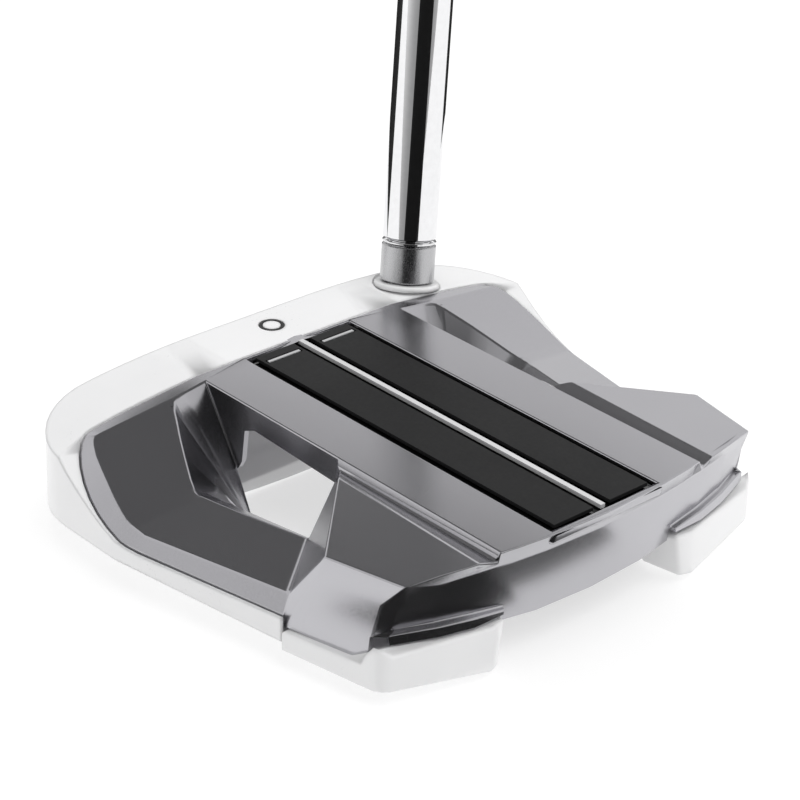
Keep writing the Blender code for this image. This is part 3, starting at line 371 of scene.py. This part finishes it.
PLATE_FACES = (
    "m_front x_front r_step m_step", "x_front d_front d_crease r_two r_step",
    "r_two d_crease d_mid d_wing r_wing", "r_wing d_wing d_rim e_rim r_rim r_back",
    "m_back r_back r_rim m_rim", "m_step r_step r_step_low m_step_low",
    "r_step r_two r_wing r_back r_back_low r_step_low",
    "r_back m_back m_back_low r_back_low", "m_step_low r_step_low r_back_low m_back_low",
    "d_crease w_toe w_foot w_bend w_mid w_wing d_wing d_mid",
    "d_wing w_wing v_front v_rear d_rim", "v_front k_in k_in_rear v_rear",
    "k_in k_out k_rear k_mid_rear k_in_rear",
    "w_wing g_rear brink_10 crease_11 k_out k_in v_front", "crease_11 band_11 q_front n_front k_out",
    "k_out n_front n_rear k_rear", "n_front q_front q_end q_turn q_low q_rear n_rear",
    "d_front f_27 brink_0 d_crease", "f_27 f_35 c_35 brink_0", "f_35 band_0 crease_0 c_35",
    "brink_0 c_35 crease_0 crease_1 crease_2 brink_1",
    "d_crease brink_0 g_toe w_toe",
    "brink_5 brink_6 g_corner g_toe", "brink_6 brink_7 g_side g_corner", "brink_7 brink_8 g_side",
    "brink_8 brink_9 brink_10 g_rear g_side",
    "brink_7 crease_8 crease_9", "brink_7 crease_9 crease_10 crease_11 brink_10 brink_9 brink_8",
    "m_rim r_rim t_11 t_0", "r_rim e_rim t_18 t_11", "e_rim d_rim t_21 t_18",
    "d_rim v_rear k_in_rear t_24 t_21", "k_in_rear k_mid_rear t_30 t_24",
    "k_mid_rear k_rear t_34 t_30", "k_rear n_rear t_35 t_34", "n_rear q_rear t_36 t_35",
    "q_rear y_37 x_36 t_36",
    "t_0 t_11 u_11 u_0", "t_11 t_18 x_18 u_18 u_11", "t_18 t_21 t_24 x_24 x_18",
    "t_24 t_30 x_30 x_24", "t_30 t_34 t_35 t_36 x_36 x_30",
    "x_18 x_24 y_24 y_18", "x_24 x_30 y_30 y_24", "x_30 x_36 y_37 y_30",
    "y_18 y_24 z_24 z_18", "y_24 y_30 z_30 z_24", "y_30 y_37 z_37 z_30",
)
# Edges of the plate with a rounding of their own.
ROUNDINGS = (("brink_7 crease_9", 1.6), ("brink_0 g_toe", 1.6), ("v_front v_rear", 0.9),
             ("w_wing v_front", 0.5), ("brink_10 crease_11", 0.9), ("g_toe w_toe", 0.0),
             ("brink_7 g_side", 1.0), ("crease_8 brink_7", 1.2))
EDGE_ROUNDING = 0.3


def plate_cage():
    """Points and faces of the toe half of the plate's outer skin and its skirt."""
    points = dict(PLATE)
    points.update({f"crease_{i}": p for i, p in enumerate(CREASE)})
    points.update({f"brink_{i}": p for i, p in enumerate(BRINK)})
    turns = [math.radians(-90 + 90 * i / CORNER_STEPS) for i in range(CORNER_STEPS + 1)]
    edge = [(CORNER_X + REACH_X * math.cos(a), CORNER_Y + REACH_Y * math.sin(a)) for a in turns]
    edge += [(side_x(SIDE_STRAIGHT_Y) - RIM, 16.5), (side_x(22.0) - RIM, 22.0), (side_x(SEAM_Y) - RIM, 47.7)]
    points.update({f"band_{i}": (x, y, band_drop(y)) for i, (x, y) in enumerate(edge)})
    faces = [row.split() for row in PLATE_FACES]
    faces += [[f"band_{i}", f"band_{i + 1}", f"crease_{i + 1}", f"crease_{i}"] for i in range(11)]
    faces += [[f"crease_{i + 1}", f"crease_{i + 2}", f"brink_{i + 1}", f"brink_{i}"] for i in range(1, 7)]
    faces += [[f"brink_{i}", f"brink_{i + 1}", "g_toe"] for i in range(5)]
    border = ["m_front", "x_front", "d_front", "f_27", "f_35"] + [f"band_{i}" for i in range(12)]
    for name in border:
        x, y, drop = points[name]
        points[name + "_skirt"] = (x, y, drop + SKIRT)
    faces += [[a, b, b + "_skirt", a + "_skirt"] for a, b in zip(border, border[1:])]
    return points, faces


def build_plate(material, wall, bevel):
    """The plate: half a skin with rounded edges, mirrored and given its wall."""
    points, faces = plate_cage()
    order = {name: i for i, name in enumerate(points)}
    corners = [(x * MM, y * MM, DECK - drop * MM) for x, y, drop in points.values()]
    plate = add_piece("fine_top_plate", corners, [[order[n] for n in face] for face in faces],
                      material, "club", "satin_aluminium")
    mesh = plate.data
    if mesh.polygons[0].normal.z < 0:
        mesh.flip_normals()
    own = {frozenset(order[n] for n in pair.split()): size for pair, size in ROUNDINGS}
    largest = max(size for _, size in ROUNDINGS)
    half = bmesh.new()
    half.from_mesh(mesh)
    weights = half.edges.layers.float.new("bevel_weight_edge")
    for edge in half.edges:
        size = own.get(frozenset(v.index for v in edge.verts))
        if size is None:
            folded = len(edge.link_faces) == 2 and edge.calc_face_angle() > FOLD_ANGLE
            size = EDGE_ROUNDING * folded
        edge[weights] = size / largest
    half.to_mesh(mesh)
    half.free()
    rounded = plate.modifiers.new("rounded edges", "BEVEL")
    rounded.limit_method = "WEIGHT"
    rounded.width = largest * MM * bevel
    rounded.segments = 3
    rounded.use_clamp_overlap = False
    mirror = plate.modifiers.new("halves", "MIRROR")
    mirror.merge_threshold = 0.00001
    walls = plate.modifiers.new("wall", "SOLIDIFY")
    walls.thickness = wall
    walls.offset = -1
    settle(plate, 30)
    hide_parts("top_plate")


# Rear blocks


FOOT_DROP = 20.5                # underside of a block at FOOT_X, in millimetres below the deck
FOOT_X = 21
FOOT_RISE = 0.085
BLOCK = (                       # plan and drop of the top edge, plan of the bottom edge, in millimetres
    (43.25, 48.3, 15.35, 43.25, 48.3), (40.75, 60.2, 15.35, 40.75, 60.2), (40.2, 62.4, 14.6, 40.35, 62.2),
    (39.95, 63.6, 12.8, 40.05, 63.4), (39.67, 64.9, 10.9, 39.75, 64.9), (38.9, 65.9, 11.8, 39.0, 65.9),
    (37.6, 66.7, 13.1, 37.85, 66.6), (21.2, 70.2, 13.0, 21.4, 70.5), (18.2, 69.5, 13.0, 19.4, 69.6),
    (17.4, 63.0, 13.7, 18.4, 63.0), (23.0, 48.3, 15.3, 24.0, 48.3),
)


def build_block(name, side, material):
    """White rear block: its side is notched for the wing, and it stands up behind it to the flange."""
    low = [(side * x * MM, y * MM, DECK - (FOOT_DROP - (x - FOOT_X) * FOOT_RISE) * MM)
           for _, _, _, x, y in BLOCK]
    top = [(side * x * MM, y * MM, DECK - drop * MM) for x, y, drop, _, _ in BLOCK]
    block = add_piece(f"fine_{name}", *skin([low, top], caps=True), material, "club", "white_paint")
    edges = block.modifiers.new("rounded edges", "BEVEL")
    edges.width = 0.0004
    edges.segments = 3
    edges.limit_method = "ANGLE"
    edges.angle_limit = math.radians(32)
    edges.use_clamp_overlap = False
    settle(block, 40)
    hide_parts(name)


# Shaft


ENTRY = Vector((-0.0292, -0.006, DECK - 0.001))         # where the shaft meets the bar
LIE = math.radians(70)
LOWER = Vector((-0.187, -0.138, 0.972)).normalized()    # way of the shaft below its bend
UPPER = Vector((-math.cos(LIE), 0.0, math.sin(LIE)))
BEND_RADIUS = 0.110
BEND_REACH = 0.095                                      # from the entry to where both ways cross
BEND_TURN = LOWER.angle(UPPER)
BEND_AXIS = LOWER.cross(UPPER).normalized()
BEND_START = ENTRY + LOWER * (BEND_REACH - BEND_RADIUS * math.tan(BEND_TURN / 2))
BEND_CENTRE = BEND_START + BEND_AXIS.cross(LOWER).normalized() * BEND_RADIUS
TIP_RADIUS = 0.0047
TIP_INSIDE = 0.0036                                     # of the part that goes into the head
TIP_END = -0.0096
BUTT_RADIUS = 0.0074
TUBE_WALL = 0.0007
STEPS = 12
STEP_START = 0.300
STEP_PITCH = 0.026
STEP_SHAPE = ((0.0, 0.0), (0.0004, 0.15), (0.0012, 0.85), (0.0016, 1.0))     # distance, share of the rise
SLEEVE_BORE = 0.0039
SLEEVE_LOW = 0.0009
SLEEVE_LENGTH = 0.0064
RING_GAP = 0.0003
RING_WIDTH = 0.0004


def shaft_frame(distance):
    """Local frame at a distance along the shaft, with z along it."""
    straight = (BEND_START - ENTRY).length
    bent = min(max(distance - straight, 0.0), BEND_RADIUS * BEND_TURN)
    turn = Matrix.Rotation(bent / BEND_RADIUS, 3, BEND_AXIS)
    way = turn @ LOWER
    place = BEND_CENTRE + turn @ (BEND_START - BEND_CENTRE)
    place += way * (min(distance - straight, 0.0) + max(distance - straight - BEND_RADIUS * BEND_TURN, 0.0))
    side = Vector((0, 1, 0)).cross(way).normalized()
    return Matrix.Translation(place) @ Matrix((side, way.cross(side), way)).transposed().to_4x4()


def shaft_ring(distance, radius, count):
    """Points of a circle round the shaft at a distance along it."""
    place = shaft_frame(distance)
    return [place @ Vector((x, y, 0)) for x, y in circle(radius, count)]


def turned(name, profile, material, slot, count):
    """A turned piece round the shaft: profile is a closed loop of (distance, radius)."""
    rings = [shaft_ring(d, r, count) for d, r in profile]
    piece = add_piece(f"fine_{name}", *skin(rings, closed=True), material, "club", slot)
    piece.data.set_sharp_from_angle(angle=math.radians(30))
    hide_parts(name)


def sleeve_profile(low, top, edge):
    """Closed profile of a sleeve or ring round the tip, its outer edges broken."""
    outer = TIP_RADIUS - edge
    return [(low, SLEEVE_BORE), (low, outer), (low + edge, TIP_RADIUS),
            (top - edge, TIP_RADIUS), (top, outer), (top, SLEEVE_BORE)]


def shaft_profile(low, length):
    """Outer profile of the shaft: reduced tip, shoulder, parallel part, bend and steps."""
    outer = [(TIP_END, TIP_INSIDE), (low, TIP_INSIDE), (low + 0.0001, TIP_RADIUS - 0.00025),
             (low + 0.00035, TIP_RADIUS), (0.040, TIP_RADIUS)]
    outer += [(0.060 + 0.003 * i, TIP_RADIUS) for i in range(22)]
    rise = (BUTT_RADIUS - TIP_RADIUS) / STEPS
    for i in range(STEPS):
        start = STEP_START + i * STEP_PITCH
        outer += [(start + run, TIP_RADIUS + rise * (i + share)) for run, share in STEP_SHAPE]
    return outer + [(length - 0.0005, BUTT_RADIUS), (length, BUTT_RADIUS - 0.0003)]


# Settings


class PutterFinish(bpy.types.PropertyGroup):
    """Colours of the putter."""

    paint: FloatVectorProperty(name="Paint", description="Colour of the painted frame and blocks",
                               default=(0.88, 0.88, 0.885), subtype="COLOR", size=3, min=0, max=1)
    plate: FloatVectorProperty(name="Plate", description="Colour of the satin aluminium plate",
                               default=(0.52, 0.515, 0.54), subtype="COLOR", size=3, min=0, max=1)
    panel: FloatVectorProperty(name="Panel", description="Colour of the black panels",
                               default=(0.012, 0.012, 0.0125), subtype="COLOR", size=3, min=0, max=1)
    chrome: FloatVectorProperty(name="Chrome", description="Colour of the plated shaft",
                                default=(0.86, 0.86, 0.87), subtype="COLOR", size=3, min=0, max=1)
    plate_gloss: FloatProperty(name="Plate roughness", description="Roughness of the satin plate",
                               default=0.22, min=0.05, max=1.0, subtype="FACTOR")


class PutterSizes(bpy.types.PropertyGroup):
    """Sizes of the fine shapes."""

    sides: IntProperty(name="Sides", description="Facets round the shaft", default=96, min=24, max=256)
    edge: FloatProperty(name="Edge radius", description="Rounding of the painted edges",
                        default=0.0009, min=0.0, max=0.003, subtype="DISTANCE", unit="LENGTH")
    plate_wall: FloatProperty(name="Plate wall", description="Thickness of the plate",
                              default=0.0009, min=0.0003, max=0.002, subtype="DISTANCE", unit="LENGTH")
    plate_bevel: FloatProperty(name="Plate bevel", description="Share of the plate's full edge rounding",
                               default=1.0, min=0.1, max=1.0, subtype="FACTOR")


class Piece:
    """Shared by the operators: where their settings are."""

    bl_options = {"REGISTER"}

    @property
    def finish(self):
        return bpy.context.scene.putter_finish

    @property
    def sizes(self):
        return bpy.context.scene.putter_sizes


class PUTTER_OT_frame(Piece, bpy.types.Operator):
    """White painted frame and rear blocks"""

    bl_idname = "putter.frame"
    bl_label = "Frame"

    def execute(self, context):
        paint = finish_paint("white paint", self.finish.paint, 0.3, 0.5, self.sizes.edge)
        refine("frame", paint)
        for name, side in (("toe_block", 1), ("heel_block", -1)):
            build_block(name, side, paint)
        refine("shaft_collar", paint)
        return {"FINISHED"}


class PUTTER_OT_plate(Piece, bpy.types.Operator):
    """Satin aluminium top plate"""

    bl_idname = "putter.plate"
    bl_label = "Top plate"

    def execute(self, context):
        metal = finish_metal("satin aluminium", self.finish.plate, self.finish.plate_gloss, 2600.0, 0.0000012)
        build_plate(metal, self.sizes.plate_wall, self.sizes.plate_bevel)
        return {"FINISHED"}


class PUTTER_OT_inlay(Piece, bpy.types.Operator):
    """Black inlay, its sight line and dashes, and the ring on the bar"""

    bl_idname = "putter.inlay"
    bl_label = "Inlay"

    def execute(self, context):
        panel = finish_paint("black panel", self.finish.panel, 0.5, 0.0, 0.0001, 0.000004)
        panel.node_tree.nodes["Principled BSDF"].inputs["Specular IOR Level"].default_value = 0.25
        gloss = finish_paint("black gloss", (0.003, 0.003, 0.003), 0.15, 0.6)
        white = finish_paint("sight white", (0.66, 0.66, 0.67), 0.4, 0.0)
        grey = finish_paint("sight grey", (0.5, 0.5, 0.51), 0.4, 0.1)
        dress("inlay_bed", gloss)
        dress("sight_line", white)
        dress("sight_ring", finish_paint("ring black", (0.008, 0.008, 0.008), 0.45, 0.1))
        for side in ("toe", "heel"):
            dress(f"{side}_panel", panel)
            dress(f"{side}_dash", grey)
        return {"FINISHED"}


class PUTTER_OT_shaft(Piece, bpy.types.Operator):
    """Chrome shaft with its sleeve, rings and plug"""

    bl_idname = "putter.shaft"
    bl_label = "Shaft"

    def execute(self, context):
        chrome = finish_metal("chrome", self.finish.chrome, 0.035, 900.0, 0.0000002)
        satin = finish_metal("satin steel", (0.5, 0.5, 0.51), 0.27, 3000.0, 0.000002,
                             stretch=(1.0, 1.0, 0.05))
        bright = finish_metal("bright steel", (0.85, 0.85, 0.86), 0.1, 2000.0, 0.000001)
        sides = self.sizes.sides
        top = SLEEVE_LOW + SLEEVE_LENGTH
        turned("tip_sleeve", sleeve_profile(SLEEVE_LOW, top, 0.0002), satin, "satin_steel", sides)
        ring = top + RING_GAP
        turned("tip_ring", sleeve_profile(ring, ring + RING_WIDTH, 0.0001), bright, "bright_steel", sides)
        length = (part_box("shaft")[1][2] - shaft_frame(STEP_START).translation.z) / UPPER.z + STEP_START
        length -= BUTT_RADIUS * math.cos(LIE) / UPPER.z
        outer = shaft_profile(ring + RING_WIDTH + RING_GAP, length)
        inner = [(d, r - TUBE_WALL) for d, r in outer]
        turned("shaft", outer + inner[::-1], chrome, "chrome", sides)
        dress("tip_plug", finish_rubber("plug wood", (0.42, 0.28, 0.14), 0.8, 700.0, 0.00003))
        return {"FINISHED"}


class PUTTER_OT_grip(Piece, bpy.types.Operator):
    """Pistol grip, its tape and its cap"""

    bl_idname = "putter.grip"
    bl_label = "Grip"

    def execute(self, context):
        dress("grip", finish_rubber("grip rubber", (0.012, 0.012, 0.013), 0.7, 1400.0, 0.0001))
        dress("grip_tape", finish_weave("grip tape", (0.72, 0.69, 0.58), 500.0))
        dress("grip_cap", finish_rubber("cap rubber", (0.018, 0.018, 0.02), 0.55, 1000.0, 0.00004))
        return {"FINISHED"}


class PUTTER_OT_face(Piece, bpy.types.Operator):
    """Face insert, sole pad and their tapes"""

    bl_idname = "putter.face"
    bl_label = "Face and sole"

    def execute(self, context):
        dress("face_insert", finish_rubber("insert polymer", (0.03, 0.03, 0.033), 0.5, 1600.0, 0.00003))
        tape = finish_weave("backing tape", (0.5, 0.46, 0.36), 600.0)
        dress("insert_pad", tape)
        dress("sole_pad_tape", tape)
        dress("sole_pad", finish_metal("sole steel", (0.56, 0.56, 0.58), 0.33, 2200.0, 0.000004,
                                       stretch=(0.08, 1.0, 1.0)))
        return {"FINISHED"}


class PUTTER_OT_hardware(Piece, bpy.types.Operator):
    """Sole weights, washers and screws"""

    bl_idname = "putter.hardware"
    bl_label = "Weights and screws"

    def execute(self, context):
        weight = finish_metal("weight steel", (0.33, 0.33, 0.35), 0.3, 2400.0, 0.000003)
        steel = finish_metal("screw steel", (0.5, 0.5, 0.52), 0.25, 2400.0, 0.000002)
        nylon = finish_rubber("washer nylon", (0.07, 0.07, 0.08), 0.6, 900.0, 0.00002)
        for side in ("toe", "heel"):
            dress(f"{side}_sole_weight", weight)
            dress(f"{side}_weight_washer", nylon)
            dress(f"{side}_front_screw", steel)
            dress(f"{side}_block_screw", steel)
        return {"FINISHED"}


# Stage

DIM_SIDE = (0.66, 0.75, 0.0)            # where the sky is darkest
DIM_SHARE = 0.35
CAMERA_PLACE = (0.24999, 0.30357, 0.21956)
CAMERA_AIM = Vector((-0.5903, -0.6568, -0.4692))
CAMERA_ROLL = math.radians(1.08)
CAMERA_LENS = 119.77
CARD_LIFT = 0.0004                      # floor cards above the floor
MIDDLE_LIFT = 0.0003
OVERHEAD_HEIGHT = 1.0
OVERHEAD_PLAN = ((-0.78, -0.5), (-1.2, -1.02), (-0.98, -1.32), (-0.2, -1.9), (0.5, -0.95), (0.7, 1.2),
                 (-0.78, 1.2))
REAR_PLAN = ((0.008, 0.0765), (0.05, 0.066), (0.06, 0.11), (0.012, 0.11))
MIDDLE_PLAN = ((-0.018, 0.0785), (0.010, 0.0785), (0.012, 0.11), (-0.010, 0.11))
# Cards on the floor round the foot of the shaft: start and end, in degrees, and inner radius.
SECTORS = (("near_card", 25.0, 83.0, 0.112), ("left_card", -132.0, -58.0, 0.13),
           ("right_card", 176.0, 228.0, 0.13))
SECTOR_FOOT = Vector((-0.029, -0.006, CARD_LIFT))
SECTOR_RADIUS = 2.0
SECTOR_STEPS = 12
WALL_RADIUS = 1.9
WALL_HEIGHT = Vector((0, 0, 1.4))


class PUTTER_OT_stage(Piece, bpy.types.Operator):
    """Pale floor, soft light, reflection cards and camera"""

    bl_idname = "putter.stage"
    bl_label = "Stage"

    def execute(self, context):
        scene = context.scene
        pale = Shader("floor", base_color=(0.45, 0.45, 0.45, 1.0), roughness=0.9,
                      emission_strength=0.6, emission_color=(1.0, 1.0, 1.0, 1.0))
        floor = self.card("floor", [(-6, -6, 0), (6, -6, 0), (6, 6, 0), (-6, 6, 0)], pale.material)
        self.reflections()
        scene.world = self.sky()
        scene.view_settings.view_transform = "Standard"
        sun = bpy.data.lights.new("soft_light", "SUN")
        sun.energy = 1.25
        sun.angle = math.radians(60)
        light = bpy.data.objects.new("soft_light", sun)
        scene.collection.objects.link(light)
        light.rotation_euler = (math.radians(-24), math.radians(-8), 0)
        light.visible_glossy = False
        self.camera(scene)
        return {"FINISHED"}

    def sky(self):
        """Light from all round, falling off towards the rear toe side."""
        world = bpy.data.worlds.new("studio")
        world.use_nodes = True
        studio = Nodes(world.node_tree)
        where = studio.node("ShaderNodeTexCoord")
        share = studio.node("ShaderNodeVectorMath", {"operation": "DOT_PRODUCT"}, {0: where, 1: DIM_SIDE},
                            "Value")
        fall = studio.node("ShaderNodeMapRange", {"interpolation_type": "SMOOTHSTEP"},
                           {"Value": share, "To Min": 1.0, "To Max": DIM_SHARE})
        back = world.node_tree.nodes["Background"]
        studio.put(back.inputs["Strength"], 0.86)
        studio.put(back.inputs["Color"], fall)
        return world

    def plain(self, name, shade):
        return Shader(name, base_color=(shade, shade, shade, 1.0), roughness=1.0).material

    def card(self, name, corners, material):
        mesh = bpy.data.meshes.new(name)
        mesh.from_pydata(corners, [], [tuple(range(len(corners)))])
        mesh.materials.append(material)
        card = bpy.data.objects.new(name, mesh)
        bpy.context.scene.collection.objects.link(card)
        return card

    def reflections(self):
        """Dark cards that only reflections see: overhead, and on the floor round the shaft."""
        dark = self.plain("dark card", 0.12)
        black = self.plain("black card", 0.002)
        level = (("overhead_card", OVERHEAD_PLAN, OVERHEAD_HEIGHT, dark),
                 ("rear_card", REAR_PLAN, CARD_LIFT, black),
                 ("middle_card", MIDDLE_PLAN, MIDDLE_LIFT, dark))
        cards = [self.card(name, [(x, y, height) for x, y in plan], material)
                 for name, plan, height, material in level]
        for name, start, end, inner in SECTORS:
            turns = [math.radians(start + (end - start) * i / SECTOR_STEPS) for i in range(SECTOR_STEPS + 1)]
            rays = [Vector((math.cos(a), math.sin(a), 0)) for a in turns]
            outline = [SECTOR_FOOT + r * SECTOR_RADIUS for r in rays]
            outline += [SECTOR_FOOT + r * inner for r in rays[::-1]]
            cards.append(self.card(name, outline, black))
            if name == "near_card":
                left, right = (SECTOR_FOOT + rays[i] * WALL_RADIUS for i in (0, -1))
                wall = [left, right, right + WALL_HEIGHT, left + WALL_HEIGHT]
                cards.append(self.card("near_wall", wall, black))
        for card in cards:
            card.visible_camera = False
            card.visible_diffuse = False
            card.visible_shadow = False
            card.visible_transmission = False

    def camera(self, scene):
        lens = bpy.data.cameras.new("camera")
        lens.lens = CAMERA_LENS
        lens.sensor_width = 36.0
        lens.clip_start = 0.001
        camera = bpy.data.objects.new("camera", lens)
        scene.collection.objects.link(camera)
        aim = CAMERA_AIM.to_track_quat("-Z", "Y").to_matrix().to_4x4()
        camera.matrix_world = Matrix.Translation(CAMERA_PLACE) @ aim @ Matrix.Rotation(CAMERA_ROLL, 4, "Z")
        scene.camera = camera


class PUTTER_PT_panel(bpy.types.Panel):
    """Lists the pieces of the putter."""

    bl_idname = "PUTTER_PT_panel"
    bl_label = "Putter"
    bl_space_type = "VIEW_3D"
    bl_region_type = "UI"
    bl_category = "Putter"

    def draw(self, context):
        for group in (context.scene.putter_finish, context.scene.putter_sizes):
            for name in group.bl_rna.properties.keys():
                if name not in ("rna_type", "name"):
                    self.layout.prop(group, name)
        for operator in OPERATORS:
            self.layout.operator(operator.bl_idname)


OPERATORS = (PUTTER_OT_frame, PUTTER_OT_plate, PUTTER_OT_inlay, PUTTER_OT_shaft, PUTTER_OT_grip,
             PUTTER_OT_face, PUTTER_OT_hardware, PUTTER_OT_stage)
CLASSES = (PutterFinish, PutterSizes, *OPERATORS, PUTTER_PT_panel)


def register():
    for cls in CLASSES:
        bpy.utils.register_class(cls)
    bpy.types.Scene.putter_finish = PointerProperty(type=PutterFinish)
    bpy.types.Scene.putter_sizes = PointerProperty(type=PutterSizes)


def unregister():
    del bpy.types.Scene.putter_sizes
    del bpy.types.Scene.putter_finish
    for cls in reversed(CLASSES):
        bpy.utils.unregister_class(cls)


def main():
    register()
    bpy.ops.putter.frame()
    bpy.ops.putter.plate()
    bpy.ops.putter.inlay()
    bpy.ops.putter.shaft()
    bpy.ops.putter.grip()
    bpy.ops.putter.face()
    bpy.ops.putter.hardware()
    bpy.ops.putter.stage()


if __name__ == "__main__":
    main()
